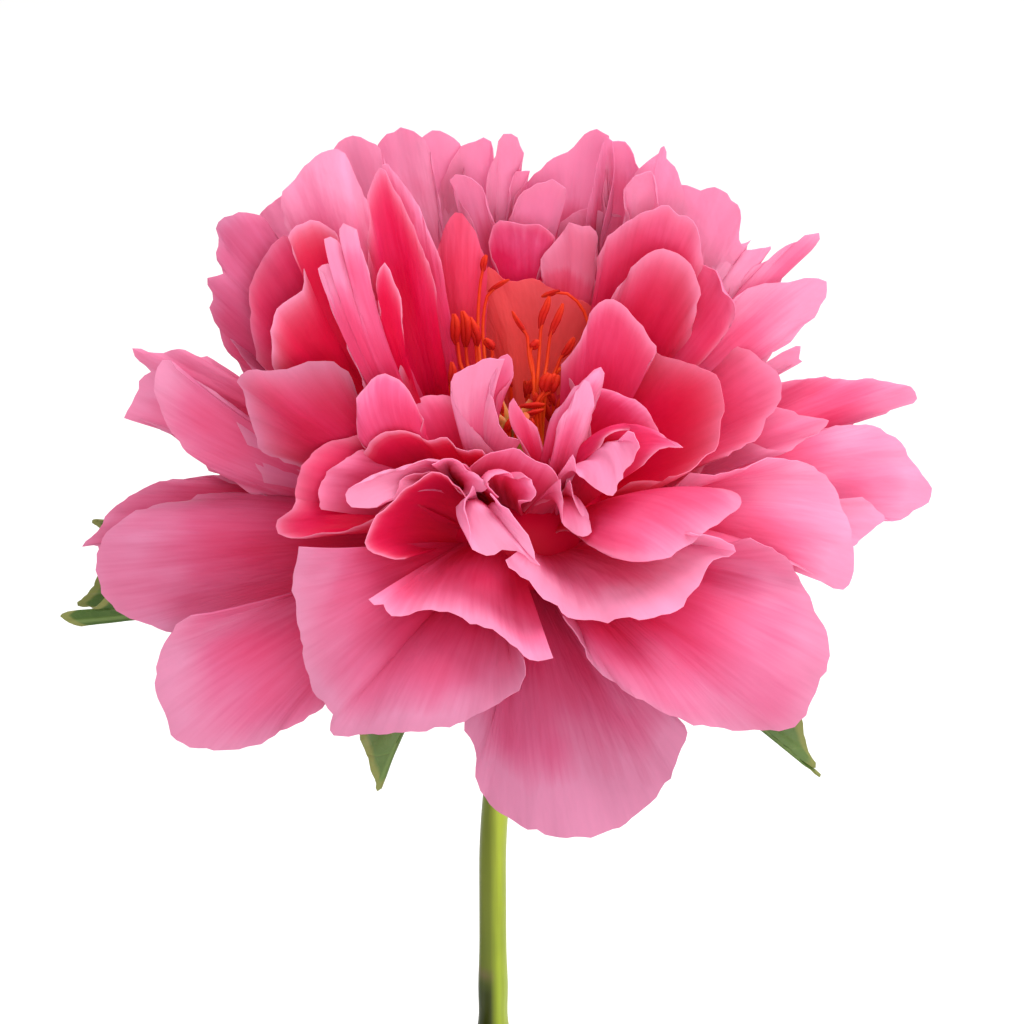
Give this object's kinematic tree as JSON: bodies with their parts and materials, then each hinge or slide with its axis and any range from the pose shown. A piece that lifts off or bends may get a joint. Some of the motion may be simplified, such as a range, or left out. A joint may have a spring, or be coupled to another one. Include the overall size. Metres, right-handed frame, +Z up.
{
  "type": "potted peony",
  "caption": "Double peony bloom of ruffled layered petals on an upright leafy stem, rooted in soil in a plain tapered clay pot with a collar.",
  "frame": {"origin": "middle of the flat underside of the pot", "axes": "+Z up along the pot's axis and the stem; -Y is the front of the bloom, the side that the picture shows"},
  "size_m": [0.3295, 0.3272, 0.5335],
  "materials": {
    "terracotta": "unglazed fired clay, matt, faintly stained",
    "soil": "loose dark potting soil",
    "stem": "smooth fleshy stem, slightly waxy",
    "leaf": "satin leaf with pale veins",
    "calyx": "satin green bracts and sepals with pale margins",
    "petal": "thin translucent petal, deep red at the base and pale pink at the rim",
    "stamen": "orange stalks with matt red anthers",
    "carpel": "downy yellow-green with pinkish tips"
  },
  "bodies": {
    "root": {"pot": "terracotta", "soil": "soil", "stem": "stem", "leaf_1": "leaf", "leaf_2": "leaf", "leaf_3": "leaf", "leaf_4": "leaf", "leaf_5": "leaf", "calyx": "calyx", "petals": "petal", "stamens": "stamen", "carpels": "carpel"}
  },
  "joints": []
}
